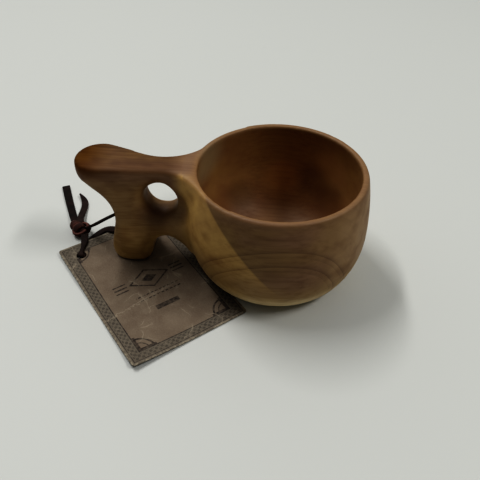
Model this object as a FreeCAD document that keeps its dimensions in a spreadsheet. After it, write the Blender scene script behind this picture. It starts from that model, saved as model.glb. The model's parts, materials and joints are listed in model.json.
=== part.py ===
"""A carved wooden kuksa: a drinking cup with a two-finger handle, a leather lace through the handle's
rear post, and a card tag on the lace.

Millimetres. The origin is the centre of the foot, on the surface that the cup stands on. +Z is up and
the handle points along -X, so -Y is the side on which the lace is tied.
"""
import FreeCAD, Part
import math
import os

import Sketcher

Vector = FreeCAD.Vector
os.makedirs("parts", exist_ok=True)
doc = FreeCAD.newDocument("kuksa")

# ---------------------------------------------------------------- driving dimensions
SIZES = [
    # the bowl
    ("cup_height", 61, "foot to rim"),
    ("rim_inner_radius", 40, "mouth of the bowl"),
    ("rim_wall", 3.6, "wood at the rim"),
    ("lip_outer_round", 1.3, "rounding of the rim outside"),
    ("lip_inner_round", 1.0, "rounding of the rim inside"),
    ("belly_swell", 3.2, "how far the widest part stands out past the rim"),
    ("belly_height", 29, "height of the widest radius"),
    ("foot_inset", 10.3, "how far the foot's edge is inside the widest radius"),
    ("foot_round", 15, "rounding of the foot's edge"),
    ("belly_wall", 4.2, "wood at the widest inside radius"),
    ("floor_thickness", 6, "wood under the hollow"),
    ("hollow_round", 30, "round between the hollow's wall and floor"),
    # the handle seen from above; "past the belly" is measured from the bowl's widest radius
    ("paddle_out", 43.4, "middle of the thumb rest's round end, past the belly"),
    ("paddle_side", 0.7, "how far that middle lies towards +Y"),
    ("paddle_radius", 12.8, "round end of the thumb rest"),
    ("waist_far_out", 13.7, "narrowest place on the +Y side, past the belly"),
    ("waist_far_side", 5.5, "half width there"),
    ("waist_far_round", 24, "hollow curve there"),
    ("waist_near_out", 11.7, "narrowest place on the -Y side, past the belly"),
    ("waist_near_side", 9.2, "half width there"),
    ("waist_near_round", 20, "hollow curve there"),
    ("blank_width", 64, "width of the wood that the handle is cut from"),
    ("blank_spare", 3, "spare wood cut away past the thumb rest's tip, and the cut's reach past the wood"),
    ("root_in", 10.5, "where the handle's sides run into the bowl, inside the belly"),
    ("root_half_width", 23.7, "half width of the handle there"),
    ("blank_in", 16.8, "end of the handle's blank in the bowl's wall, inside the belly"),
    # the handle seen from the side
    ("tip_lip", 6.6, "thickness of the blank at the tip"),
    ("rear_waist_in", 6.1, "rear edge's innermost place, from the paddle's middle towards the bowl"),
    ("rear_waist_drop", 31, "that place below the rim"),
    ("rear_round", 23, "hollow curve of the rear edge"),
    ("heel_in", 0.8, "heel, from the paddle's middle towards the bowl"),
    ("heel_clearance", 2.8, "heel above the table"),
    ("heel_front_out", 19.4, "front end of the heel's underside, past the belly"),
    ("heel_round", 4.5, "rounding of the heel's corners"),
    ("arch_out", 10.5, "middle of the lower finger arch, past the belly"),
    ("arch_height", 9.6, "height of that middle"),
    ("arch_radius", 8.5, "radius of the arch"),
    ("root_foot_in", 8.4, "where the arch meets the bowl, inside the belly"),
    ("root_foot_height", 9.3, "height of that place"),
    ("root_foot_rise", 12.2, "rise of the blank's end from there, inside the bowl"),
    ("taper_start_out", 3.2, "where the handle's lower corners start to be cut away, past the belly"),
    ("taper_half_width", 7, "half width left there at the height of the next size"),
    ("taper_low", 6, "the cut slopes up and out from this height"),
    ("taper_size", 38, "width and height of the cut"),
    # what is drilled and rounded
    ("finger_hole_diameter", 18, "upper finger hole"),
    ("finger_hole_out", 12.4, "middle of the hole, past the belly"),
    ("finger_hole_drop", 19, "middle of the hole below the rim"),
    ("finger_hole_flare", 6.2, "rounding of the hole's mouths"),
    ("under_edge_round", 2.5, "rounding of the handle's edges below, from the tip to the arch"),
    ("top_edge_round", 2.2, "rounding of the handle's edges on top"),
    ("lace_bore_diameter", 5, "hole for the lace"),
    ("lace_bore_drop", 36, "that hole below the rim"),
    ("lace_bore_in", 9.6, "middle of the hole, from the paddle's middle towards the bowl"),
    ("lace_bore_side", 4.9, "how far that middle lies towards +Y"),
    ("lace_bore_turn", 45, "degrees from the handle's length to the bore"),
    # lace, knot and tag
    ("lace_width", 4, "leather thong"),
    ("lace_thickness", 1.2, "leather thong"),
    ("knot_half_length", 6.3, "along X"),
    ("knot_half_width", 4.6, "along Y"),
    ("knot_half_height", 3.8, "along Z"),
    ("knot_out", 22.6, "knot, from the paddle's middle away from the bowl"),
    ("knot_side", 8.9, "towards +Y"),
    ("tag_length", 93.3, "long side of the card"),
    ("tag_width", 63.5, "short side of the card"),
    ("tag_thickness", 0.5, "card"),
    ("tag_hole_diameter", 5.5, "punched hole"),
    ("tag_hole_inset", 9.8, "hole to the card's short edge"),
    ("tag_hole_margin", 9.6, "hole to the card's long edge"),
    ("tag_hole_out", 15.9, "hole, from the paddle's middle away from the bowl"),
    ("tag_hole_side", 11.2, "towards -Y"),
    ("tag_turn", 50, "degrees that the long side points away from +X"),
    ("tag_lift", 1.55, "card above the table where the lace runs under it"),
    ("tag_rest", 0.1, "card above the table where it lies flat"),
    ("tag_ramp_start", 25.5, "card's end to where it starts to come down"),
    ("tag_ramp_end", 55.5, "card's end to where it lies flat"),
    ("tag_corner", 1.5, "rounding of the card's corners"),
]

# Places that follow from the sizes above.
WORKED_OUT = [
    ("rim_outer_radius", "rim_inner_radius + rim_wall"),
    ("belly_radius", "rim_outer_radius + belly_swell"),
    ("foot_radius", "belly_radius - foot_inset"),
    ("rim_crown_outer", "rim_outer_radius - lip_outer_round"),
    ("rim_crown_inner", "rim_inner_radius + lip_inner_round"),
    ("lip_outer_height", "cup_height - lip_outer_round"),
    ("lip_inner_height", "cup_height - lip_inner_round"),
    ("above_cup", "cup_height + blank_spare"),
    ("hollow_radius", "belly_radius - belly_wall"),
    ("hollow_height", "floor_thickness + hollow_round"),
    ("floor_flat_radius", "hollow_radius - hollow_round"),
    # radius of a circle that is upright at the belly and passes through the other end
    ("flank_run", "belly_radius - foot_radius"),
    ("flank_round", "(flank_run * flank_run + belly_height * belly_height) / (2 * flank_run)"),
    ("shoulder_run", "belly_radius - rim_outer_radius"),
    ("shoulder_rise", "lip_outer_height - belly_height"),
    ("shoulder_round", "(shoulder_run * shoulder_run + shoulder_rise * shoulder_rise) / (2 * shoulder_run)"),
    ("neck_run", "hollow_radius - rim_inner_radius"),
    ("neck_rise", "lip_inner_height - hollow_height"),
    ("neck_round", "(neck_run * neck_run + neck_rise * neck_rise) / (2 * neck_run)"),
    # handle
    ("paddle_x", "-belly_radius - paddle_out"),
    ("waist_far_x", "-belly_radius - waist_far_out"),
    ("waist_far_y", "waist_far_side + waist_far_round"),
    ("waist_near_x", "-belly_radius - waist_near_out"),
    ("waist_near_y", "-waist_near_side - waist_near_round"),
    ("root_x", "-belly_radius + root_in"),
    ("root_near_y", "-root_half_width"),
    ("inside_x", "-belly_radius + blank_in"),
    ("blank_x", "paddle_x - paddle_radius - blank_spare"),
    ("tip_under", "cup_height - tip_lip"),
    ("rear_x", "paddle_x + rear_waist_in - rear_round"),
    ("rear_waist_height", "cup_height - rear_waist_drop"),
    ("heel_x", "paddle_x + heel_in"),
    ("heel_front_x", "-belly_radius - heel_front_out"),
    ("arch_x", "-belly_radius - arch_out"),
    ("root_foot_x", "-belly_radius + root_foot_in"),
    ("inside_height", "root_foot_height + root_foot_rise"),
    ("taper_x", "-belly_radius - taper_start_out"),
    ("taper_length", "taper_start_out + blank_in"),
    ("taper_high", "taper_low + taper_size"),
    ("taper_out", "taper_half_width + taper_size"),
    ("taper_near_half_width", "-taper_half_width"),
    ("taper_near_out", "-taper_out"),
    ("hole_x", "-belly_radius - finger_hole_out"),
    ("finger_hole_height", "cup_height - finger_hole_drop"),
    ("waste_x", "blank_x - blank_spare"),
    ("waste_inner_x", "inside_x + blank_spare"),
    ("waste_far_y", "blank_width / 2 + blank_spare"),
    ("waste_near_y", "-waste_far_y"),
    # lace bore: its middle, and its axis measured square to it from the bowl's axis
    ("bore_middle_x", "paddle_x + lace_bore_in"),
    ("lace_bore_height", "cup_height - lace_bore_drop"),
    ("bore_x", "bore_middle_x * cos(lace_bore_turn * 1 deg) - lace_bore_side * sin(lace_bore_turn * 1 deg)"),
    # tag, measured from its punched hole
    ("tag_near_end", "-tag_hole_inset"),
    ("tag_far_end", "tag_length - tag_hole_inset"),
    ("tag_ramp_from", "tag_ramp_start - tag_hole_inset"),
    ("tag_ramp_to", "tag_ramp_end - tag_hole_inset"),
    ("tag_lift_top", "tag_lift + tag_thickness"),
    ("tag_rest_top", "tag_rest + tag_thickness"),
    ("tag_x", "paddle_x - tag_hole_out"),
    ("tag_y", "-tag_hole_side"),
    # lace
    ("knot_x", "paddle_x - knot_out"),
    ("table_lace_height", "lace_thickness / 2 + 0.15"),
    ("card_lace_height", "tag_lift_top + lace_thickness / 2 + 0.25"),
]

sheet = doc.addObject("Spreadsheet::Sheet", "Sizes")
for row, (name, number, note) in enumerate(SIZES, start=1):
    sheet.set(f"A{row}", name)
    sheet.set(f"B{row}", str(number))
    sheet.set(f"C{row}", note)
    sheet.setAlias(f"B{row}", name)
for row, (name, formula) in enumerate(WORKED_OUT, start=len(SIZES) + 2):
    sheet.set(f"A{row}", name)
    sheet.set(f"B{row}", "=" + formula)
    sheet.setAlias(f"B{row}", name)
doc.recompute()


def size(name):
    """The number in the sheet's cell of that name."""
    return float(sheet.get(name))


def bind(feature, **cells):
    """Tie a feature's properties to cells of the sheet."""
    for prop, formula in cells.items():
        feature.setExpression(prop, formula)


# ---------------------------------------------------------------- sketches
def new_body(name):
    body = doc.addObject("PartDesign::Body", name)
    body.Label = name
    return body


def new_sketch(body, name, role):
    """A sketch on one of the body's own origin planes."""
    plane = next(part for part in body.Origin.OriginFeatures if part.Role == role)
    sketch = body.newObject("Sketcher::SketchObject", name)
    sketch.AttachmentSupport = [(plane, "")]
    sketch.MapMode = "FlatFace"
    return sketch


def hold(sketch, kind, *where, cell=None):
    """Add a constraint, and tie it to a cell of the sheet if one is named."""
    if cell is None:
        sketch.addConstraint(Sketcher.Constraint(kind, *where))
        return
    index = sketch.addConstraint(Sketcher.Constraint(kind, *where, size(cell)))
    sketch.renameConstraint(index, f"{kind}_{index}")
    sketch.setExpression(f"Constraints.{kind}_{index}", f"Sizes.{cell}")


def pin(sketch, curve, end, across, up):
    """Hold a point of a curve at a place given by two cells; None means that it lies on the axis."""
    if across is None:
        hold(sketch, "PointOnObject", curve, end, -2)
    else:
        hold(sketch, "DistanceX", -1, 1, curve, end, cell=across)
    if up is None:
        hold(sketch, "PointOnObject", curve, end, -1)
    else:
        hold(sketch, "DistanceY", -1, 1, curve, end, cell=up)


def belt(sketch, stops):
    """A closed outline of straight lines, as a belt runs over pegs and round pulleys.

    A peg is (across, up), two cells. A pulley is (across, up, radius, turn), where turn is +1 if the
    belt goes round it anticlockwise and -1 if clockwise. The lines are tangent to the pulleys.
    """
    count = len(stops)
    centres = [Vector(size(stop[0]), size(stop[1]), 0) for stop in stops]
    offsets = [size(stop[2]) * stop[3] if len(stop) == 4 else 0.0 for stop in stops]
    lines = []
    for index in range(count):
        start, end = centres[index], centres[(index + 1) % count]
        span = end - start
        slant = math.asin((offsets[(index + 1) % count] - offsets[index]) / span.Length)
        heading = math.atan2(span.y, span.x) - slant
        left = Vector(-math.sin(heading), math.cos(heading), 0)
        lines.append((start - left * offsets[index], end - left * offsets[(index + 1) % count]))
    line_ids = [sketch.addGeometry(Part.LineSegment(*line), False) for line in lines]
    for index, stop in enumerate(stops):
        before, after = line_ids[index - 1], line_ids[index]
        if len(stop) == 2:
            hold(sketch, "Coincident", before, 2, after, 1)
            pin(sketch, after, 1, *stop)
            continue
        centre, turn = centres[index], stop[3]
        arrive, leave = lines[index - 1][1] - centre, lines[index][0] - centre
        first, last = (arrive, leave) if turn > 0 else (leave, arrive)
        angles = [math.atan2(spoke.y, spoke.x) for spoke in (first, last)]
        circle = Part.Circle(centre, Vector(0, 0, 1), size(stop[2]))
        arc = sketch.addGeometry(Part.ArcOfCircle(circle, *angles), False)
        start_end = (1, 2) if turn > 0 else (2, 1)
        hold(sketch, "Tangent", before, 2, arc, start_end[0])
        hold(sketch, "Tangent", arc, start_end[1], after, 1)
        pin(sketch, arc, 3, stop[0], stop[1])
        hold(sketch, "Radius", arc, cell=stop[2])


def turned_outline(sketch, stops):
    """A closed outline of pinned corners. A stop is (across, up) and, if an arc leads on from it to the
    next stop, that arc's radius cell and its turn, +1 anticlockwise or -1 clockwise."""
    count = len(stops)
    corners = [Vector(size(stop[0]) if stop[0] else 0.0, size(stop[1]) if stop[1] else 0.0, 0)
               for stop in stops]
    ends = []
    for index, stop in enumerate(stops):
        start, end = corners[index], corners[(index + 1) % count]
        if len(stop) == 2:
            curve = sketch.addGeometry(Part.LineSegment(start, end), False)
            ends.append((curve, 1, 2))
            continue
        radius, turn = size(stop[2]), stop[3]
        half = (end - start) * 0.5
        left = Vector(-half.y, half.x, 0).normalize()
        middle = start + half + left * turn * math.sqrt(max(radius ** 2 - half.Length ** 2, 0.0))
        first, last = (start, end) if turn > 0 else (end, start)
        angles = [math.atan2(spot.y - middle.y, spot.x - middle.x) for spot in (first, last)]
        circle = Part.Circle(middle, Vector(0, 0, 1), radius)
        curve = sketch.addGeometry(Part.ArcOfCircle(circle, *angles), False)
        hold(sketch, "Radius", curve, cell=stop[2])
        ends.append((curve, 1, 2) if turn > 0 else (curve, 2, 1))
    for index, stop in enumerate(stops):
        before, after = ends[index - 1], ends[index]
        hold(sketch, "Coincident", before[0], before[2], after[0], after[1])
        pin(sketch, after[0], after[1], stop[0], stop[1])


def edge_names(feature, test):
    """Names of the feature's edges for which test(edge) is true."""
    names = [f"Edge{index}" for index, edge in enumerate(feature.Shape.Edges, start=1) if test(edge)]
    if not names:
        raise RuntimeError(f"no edge found on {feature.Name}")
    return names


def round_over(body, base, name, cell, test):
    """Round the edges of the body's last feature that pass the test."""
    doc.recompute()
    fillet = body.newObject("PartDesign::Fillet", name)
    fillet.Base = (base, edge_names(base, test))
    bind(fillet, Radius=f"Sizes.{cell}")
    doc.recompute()
    return fillet


# ---------------------------------------------------------------- the carved cup
kuksa = new_body("kuksa")

side = new_sketch(kuksa, "handle_side", "XZ_Plane")
belt(side, [
    ("inside_x", "cup_height"),
    ("blank_x", "cup_height"),
    ("blank_x", "tip_under"),
    ("rear_x", "rear_waist_height", "rear_round", -1),
    ("heel_x", "heel_clearance"),
    ("heel_front_x", "heel_clearance"),
    ("arch_x", "arch_height", "arch_radius", -1),
    ("root_foot_x", "root_foot_height"),
    ("inside_x", "inside_height"),
])
blank = kuksa.newObject("PartDesign::Pad", "handle_blank")
blank.Profile = side
blank.Midplane = True
bind(blank, Length="Sizes.blank_width")
doc.recompute()

plan = new_sketch(kuksa, "handle_plan", "XY_Plane")
belt(plan, [
    ("inside_x", "root_near_y"),
    ("inside_x", "root_half_width"),
    ("root_x", "root_half_width"),
    ("waist_far_x", "waist_far_y", "waist_far_round", -1),
    ("paddle_x", "paddle_side", "paddle_radius", 1),
    ("waist_near_x", "waist_near_y", "waist_near_round", -1),
    ("root_x", "root_near_y"),
])
belt(plan, [
    ("waste_inner_x", "waste_near_y"),
    ("waste_inner_x", "waste_far_y"),
    ("waste_x", "waste_far_y"),
    ("waste_x", "waste_near_y"),
])
waste = kuksa.newObject("PartDesign::Pocket", "handle_waste")
waste.Profile = plan
waste.Type = "ThroughAll"
waste.Midplane = True
doc.recompute()


def is_heel_corner(edge):
    """The heel's two lower corners run across the handle."""
    middle = edge.CenterOfMass
    across = abs(edge.tangentAt(edge.FirstParameter).y) > 0.99
    return across and abs(middle.z - size("heel_clearance")) < 0.01 and middle.x < size("arch_x")


heel = round_over(kuksa, waste, "heel_corners", "heel_round", is_heel_corner)

hole_sketch = new_sketch(kuksa, "finger_hole_sketch", "XZ_Plane")
hole_circle = hole_sketch.addGeometry(Part.Circle(Vector(size("hole_x"), size("finger_hole_height"), 0),
                                                  Vector(0, 0, 1), size("finger_hole_diameter") / 2), False)
hold(hole_sketch, "Diameter", hole_circle, cell="finger_hole_diameter")
pin(hole_sketch, hole_circle, 3, "hole_x", "finger_hole_height")
hole = kuksa.newObject("PartDesign::Pocket", "finger_hole")
hole.Profile = hole_sketch
hole.Type = "ThroughAll"
hole.Midplane = True
doc.recompute()


def is_hole_mouth(edge):
    """The upper finger hole's two mouths: every point of them lies on the hole's cylinder."""
    spots = [edge.valueAt(edge.FirstParameter + share * (edge.LastParameter - edge.FirstParameter))
             for share in (0, 0.3, 0.7, 1)]
    radius = size("finger_hole_diameter") / 2
    return all(abs(math.hypot(spot.x - size("hole_x"), spot.z - size("finger_hole_height")) - radius) < 0.01
               for spot in spots) and edge.Length > radius / 2


mouths = round_over(kuksa, hole, "finger_hole_mouths", "finger_hole_flare", is_hole_mouth)


def at_tip(spot):
    """True on the outermost tenth of the thumb rest's round end."""
    return spot.x < size("paddle_x") - size("paddle_radius") * 0.9


def is_nose_under_edge(edge):
    """The thumb rest's lower edge at the tip. The rounding runs on from it along the rear, heel and arch."""
    middle = edge.valueAt((edge.FirstParameter + edge.LastParameter) / 2)
    return at_tip(middle) and middle.z < size("cup_height") - 1


def is_nose_top_edge(edge):
    """The thumb rest's upper edge at the tip. The rounding runs on from it to the bowl on both sides."""
    middle = edge.valueAt((edge.FirstParameter + edge.LastParameter) / 2)
    return at_tip(middle) and abs(middle.z - size("cup_height")) < 0.01


under = round_over(kuksa, mouths, "handle_under_edges", "under_edge_round", is_nose_under_edge)
top = round_over(kuksa, under, "handle_top_edges", "top_edge_round", is_nose_top_edge)

# the lower corners narrow towards the bowl, so that they don't stand out from its flank
taper_sketch = new_sketch(kuksa, "root_taper_sketch", "YZ_Plane")
taper_sketch.AttachmentOffset = FreeCAD.Placement(Vector(0, 0, size("taper_x")), FreeCAD.Rotation())
bind(taper_sketch, **{"AttachmentOffset.Base.z": "Sizes.taper_x"})
belt(taper_sketch, [
    ("taper_half_width", "taper_low"),
    ("taper_out", "taper_low"),
    ("taper_out", "taper_high"),
])
belt(taper_sketch, [
    ("taper_near_half_width", "taper_low"),
    ("taper_near_out", "taper_high"),
    ("taper_near_out", "taper_low"),
])
taper = kuksa.newObject("PartDesign::Pocket", "root_taper")
taper.Profile = taper_sketch
taper.Reversed = True
bind(taper, Length="Sizes.taper_length")
doc.recompute()

wall = new_sketch(kuksa, "bowl_wall", "XZ_Plane")
turned_outline(wall, [
    (None, None),
    ("foot_radius", None, "flank_round", 1),
    ("belly_radius", "belly_height", "shoulder_round", 1),
    ("rim_outer_radius", "lip_outer_height", "lip_outer_round", 1),
    ("rim_crown_outer", "cup_height"),
    (None, "cup_height"),
])
bowl = kuksa.newObject("PartDesign::Revolution", "bowl")
bowl.Profile = wall
bowl.ReferenceAxis = (wall, ["V_Axis"])
bowl.Angle = 360
doc.recompute()

inside = new_sketch(kuksa, "bowl_inside", "XZ_Plane")
turned_outline(inside, [
    (None, "floor_thickness"),
    ("floor_flat_radius", "floor_thickness", "hollow_round", 1),
    ("hollow_radius", "hollow_height", "neck_round", 1),
    ("rim_inner_radius", "lip_inner_height", "lip_inner_round", -1),
    ("rim_crown_inner", "cup_height"),
    ("rim_crown_inner", "above_cup"),
    (None, "above_cup"),
])
hollow = kuksa.newObject("PartDesign::Groove", "hollow")
hollow.Profile = inside
hollow.ReferenceAxis = (inside, ["V_Axis"])
hollow.Angle = 360
doc.recompute()


def is_foot_edge(edge):
    """The foot's edge is the only circle on the table that is as big as the foot."""
    flat = abs(edge.BoundBox.ZMin) < 0.01 and abs(edge.BoundBox.ZMax) < 0.01
    return flat and isinstance(edge.Curve, Part.Circle) and abs(edge.Curve.Radius - size("foot_radius")) < 0.1


foot = round_over(kuksa, hollow, "foot_edge", "foot_round", is_foot_edge)

bore_sketch = new_sketch(kuksa, "lace_bore_sketch", "XZ_Plane")
bore_sketch.AttachmentOffset = FreeCAD.Placement(
    Vector(), FreeCAD.Rotation(Vector(0, -1, 0), size("lace_bore_turn")))
bind(bore_sketch, **{"AttachmentOffset.Rotation.Angle": "Sizes.lace_bore_turn * 1 deg"})
bore_circle = bore_sketch.addGeometry(Part.Circle(Vector(size("bore_x"), size("lace_bore_height"), 0),
                                                  Vector(0, 0, 1), size("lace_bore_diameter") / 2), False)
hold(bore_sketch, "Diameter", bore_circle, cell="lace_bore_diameter")
pin(bore_sketch, bore_circle, 3, "bore_x", "lace_bore_height")
bore = kuksa.newObject("PartDesign::Pocket", "lace_bore")
bore.Profile = bore_sketch
bore.Type = "ThroughAll"
bore.Midplane = True
doc.recompute()

# ---------------------------------------------------------------- the card tag
tag = new_body("tag")
card_side = new_sketch(tag, "card_side", "XZ_Plane")
card_side.AttachmentOffset = FreeCAD.Placement(Vector(0, 0, size("tag_hole_margin")), FreeCAD.Rotation())
bind(card_side, **{"AttachmentOffset.Base.z": "Sizes.tag_hole_margin"})
belt(card_side, [
    ("tag_near_end", "tag_lift"),
    ("tag_ramp_from", "tag_lift"),
    ("tag_ramp_to", "tag_rest"),
    ("tag_far_end", "tag_rest"),
    ("tag_far_end", "tag_rest_top"),
    ("tag_ramp_to", "tag_rest_top"),
    ("tag_ramp_from", "tag_lift_top"),
    ("tag_near_end", "tag_lift_top"),
])
card = tag.newObject("PartDesign::Pad", "card")
card.Profile = card_side
card.Reversed = True
bind(card, Length="Sizes.tag_width")
doc.recompute()

punch_sketch = new_sketch(tag, "punched_hole_sketch", "XY_Plane")
punch_circle = punch_sketch.addGeometry(Part.Circle(Vector(), Vector(0, 0, 1),
                                                    size("tag_hole_diameter") / 2), False)
hold(punch_sketch, "Diameter", punch_circle, cell="tag_hole_diameter")
hold(punch_sketch, "Coincident", punch_circle, 3, -1, 1)
punch = tag.newObject("PartDesign::Pocket", "punched_hole")
punch.Profile = punch_sketch
punch.Type = "ThroughAll"
punch.Midplane = True


def is_card_corner(edge):
    """The card's corners are its only short upright edges."""
    upright = isinstance(edge.Curve, Part.Line) and abs(edge.tangentAt(edge.FirstParameter).z) > 0.99
    across = edge.CenterOfMass.x
    return upright and (abs(across - size("tag_near_end")) < 0.01 or abs(across - size("tag_far_end")) < 0.01)


corners = round_over(tag, punch, "card_corners", "tag_corner", is_card_corner)
tag.Placement = FreeCAD.Placement(Vector(size("tag_x"), size("tag_y"), 0),
                                  FreeCAD.Rotation(Vector(0, 0, -1), size("tag_turn")))
bind(tag, **{
    "Placement.Base.x": "Sizes.tag_x * 1 mm",
    "Placement.Base.y": "Sizes.tag_y * 1 mm",
    "Placement.Rotation.Angle": "Sizes.tag_turn * 1 deg",
})
doc.recompute()

# ---------------------------------------------------------------- the knot
knot = doc.addObject("Part::Ellipsoid", "knot")
bind(knot, Radius1="Sizes.knot_half_height * 1 mm", Radius2="Sizes.knot_half_length * 1 mm",
     Radius3="Sizes.knot_half_width * 1 mm")
knot.Label = "knot"
knot.Placement = FreeCAD.Placement(Vector(size("knot_x"), size("knot_side"), size("knot_half_height")),
                                   FreeCAD.Rotation())
bind(knot, **{
    "Placement.Base.x": "Sizes.knot_x * 1 mm",
    "Placement.Base.y": "Sizes.knot_side * 1 mm",
    "Placement.Base.z": "Sizes.knot_half_height * 1 mm",
})
doc.recompute()


# ---------------------------------------------------------------- the lace
def bore_spot(past_middle):
    """A place on the bore's axis, that far from its middle towards the far mouth."""
    turn = math.radians(size("lace_bore_turn"))
    middle = Vector(size("bore_middle_x"), size("lace_bore_side"), size("lace_bore_height"))
    return middle + Vector(math.sin(turn), math.cos(turn), 0) * past_middle


def from_hole(across, along, height):
    """A place measured from the card's punched hole; the height is above the table."""
    return Vector(size("tag_x") + across, size("tag_y") + along, height)


def from_knot(across, along, up):
    """A place measured from the knot's middle."""
    return Vector(size("knot_x") + across, size("knot_side") + along, size("knot_half_height") + up)


def route_wire(points):
    """Straight runs through the points, with a tangent arc at each inner one."""
    edges, radii = [], []
    start = points[0]
    for before, corner, after in zip(points, points[1:], points[2:]):
        back, ahead = before - corner, after - corner
        turn = math.pi - back.getAngle(ahead)
        setback = 0.45 * min(back.Length, ahead.Length)
        radius = setback / math.tan(turn / 2)
        back.normalize()
        ahead.normalize()
        arrive, leave = corner + back * setback, corner + ahead * setback
        inward = (back + ahead).normalize()
        middle = corner + inward * (radius / math.cos(turn / 2) - radius)
        edges.append(Part.LineSegment(start, arrive).toShape())
        edges.append(Part.Arc(arrive, middle, leave).toShape())
        radii.append(round(radius, 1))
        start = leave
    edges.append(Part.LineSegment(start, points[-1]).toShape())
    return Part.Wire(edges), radii


def thong(name, points, width_way):
    """A flat leather thong along the points. Its width starts out as near to width_way as it can.

    It is made with its first point at the origin and then placed there.
    """
    first = points[0]
    wire, radii = route_wire([point - first for point in points])
    ahead = (points[1] - first).normalize()
    wide = width_way - ahead * width_way.dot(ahead)
    wide = wide.normalize() * (size("lace_width") / 2)
    thick = ahead.cross(wide).normalize() * (size("lace_thickness") / 2)
    corners = [wide + thick, thick - wide, -wide - thick, wide - thick]
    section = Part.makePolygon(corners + corners[:1])
    solid = wire.makePipeShell([section], True, False)
    feature = doc.addObject("Part::Feature", name)
    feature.Label = name
    feature.Shape = solid
    feature.Placement = FreeCAD.Placement(first, FreeCAD.Rotation())
    full = size("lace_width") * size("lace_thickness") * wire.Length
    print(f"{name}: {wire.Length:.1f} mm, bends {radii}, volume {solid.Volume:.0f} of {full:.0f}, "
          f"lowest {feature.Shape.BoundBox.ZMin:.2f}, valid {solid.isValid()}")
    return feature


on_table = size("table_lace_height")
on_card = size("card_lace_height")
upright = Vector(0, 0, 1)

# from the knot straight up to the bore's rear mouth
UPPER_ROUTE = [
    from_knot(3.8, -0.6, 1.0),
    from_knot(7.8, -1.8, 3.1),
    from_knot(14.8, -4.9, 9.9),
    from_knot(21.3, -8.3, 17.0),
    bore_spot(-9.05),
    bore_spot(0),
]
# from the knot down through the card's hole, back under the card, past the heel and up to the far mouth
LOWER_ROUTE = [
    from_knot(2.2, -3.0, -0.5),
    from_knot(5.6, -6.0, -0.5),
    from_hole(0.5, 9.4, on_card + 0.1),
    from_hole(0.2, 5.0, on_card),
    from_hole(0, 1.0, on_card),
    from_hole(0, 1.0, on_table),
    from_hole(0, 5.2, on_table),
    from_hole(0.2, 10.7, on_table),
    from_hole(1.9, 16.4, on_table),
    from_hole(7.5, 22.2, on_table),
    from_hole(13.3, 27.4, 1.8),
    from_hole(20.1, 31.5, 6),
    from_hole(27.1, 31.5, 13),
    from_hole(32.1, 29.4, 20),
    bore_spot(12.4),
    bore_spot(0),
]
STRAIGHT_TAIL_ROUTE = [
    from_knot(-2.0, 1.9, -0.6),
    from_knot(-4.5, 5.5, -1.0),
    from_knot(-7.8, 10.7, -2.1),
    from_knot(-11.8, 18.7, on_table - size("knot_half_height") + 0.1),
    from_knot(-18.2, 31.3, on_table - size("knot_half_height")),
    from_knot(-23.5, 42.6, on_table - size("knot_half_height")),
]
CURLED_TAIL_ROUTE = [
    from_knot(-0.1, 2.3, 1.6),
    from_knot(-2.5, 7.1, 0.6),
    from_knot(-3.7, 12.6, -1.2),
    from_knot(-4.6, 18.7, -2.5),
    from_knot(-5.3, 24.7, on_table - size("knot_half_height") + 0.1),
    from_knot(-7.4, 30.3, on_table - size("knot_half_height") + 0.35),
    from_knot(-11.5, 34.5, on_table - size("knot_half_height") + 1.1),
]
upper = thong("lace_upper", UPPER_ROUTE, Vector(0.31, 0.54, -0.31))
lower = thong("lace_lower", LOWER_ROUTE, upright.cross(LOWER_ROUTE[1] - LOWER_ROUTE[0]))
straight_tail = thong("lace_tail_straight", STRAIGHT_TAIL_ROUTE,
                      upright.cross(STRAIGHT_TAIL_ROUTE[1] - STRAIGHT_TAIL_ROUTE[0]))
curled_tail = thong("lace_tail_curled", CURLED_TAIL_ROUTE,
                    upright.cross(CURLED_TAIL_ROUTE[1] - CURLED_TAIL_ROUTE[0]))
doc.recompute()

# ---------------------------------------------------------------- checks and files
PARTS = {
    "kuksa": kuksa,
    "tag": tag,
    "knot": knot,
    "lace_upper": upper,
    "lace_lower": lower,
    "lace_tail_straight": straight_tail,
    "lace_tail_curled": curled_tail,
}
for thing in doc.Objects:
    if "Invalid" in thing.State or "Error" in thing.State:
        raise RuntimeError(f"{thing.Name} is {thing.State}")
for name, part in PARTS.items():
    shape = part.Shape
    if shape.isNull() or not shape.isValid() or len(shape.Solids) != 1:
        raise RuntimeError(f"{name} isn't one valid solid")
for name, part in PARTS.items():
    shape = part.Shape
    shape.exportStep(f"parts/{name}.step")
    box = shape.BoundBox
    print(f"{name}: {shape.Volume:.0f} mm3, x {box.XMin:.1f} to {box.XMax:.1f}, "
          f"y {box.YMin:.1f} to {box.YMax:.1f}, z {box.ZMin:.2f} to {box.ZMax:.2f}")
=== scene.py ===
# %% [markdown]
# # A carved wooden kuksa
# A kuksa is a cup carved from one block of hardwood: a round bowl and a handle with room for two
# fingers. A flat leather lace goes through the handle's rear post and holds a card tag.
# The imported CAD model is the frame that everything is built in. Its parts stay in the scene, hidden.

# %% Load the frame
import json
import math

import bmesh
import bpy
from mathutils import Matrix, Vector


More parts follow.
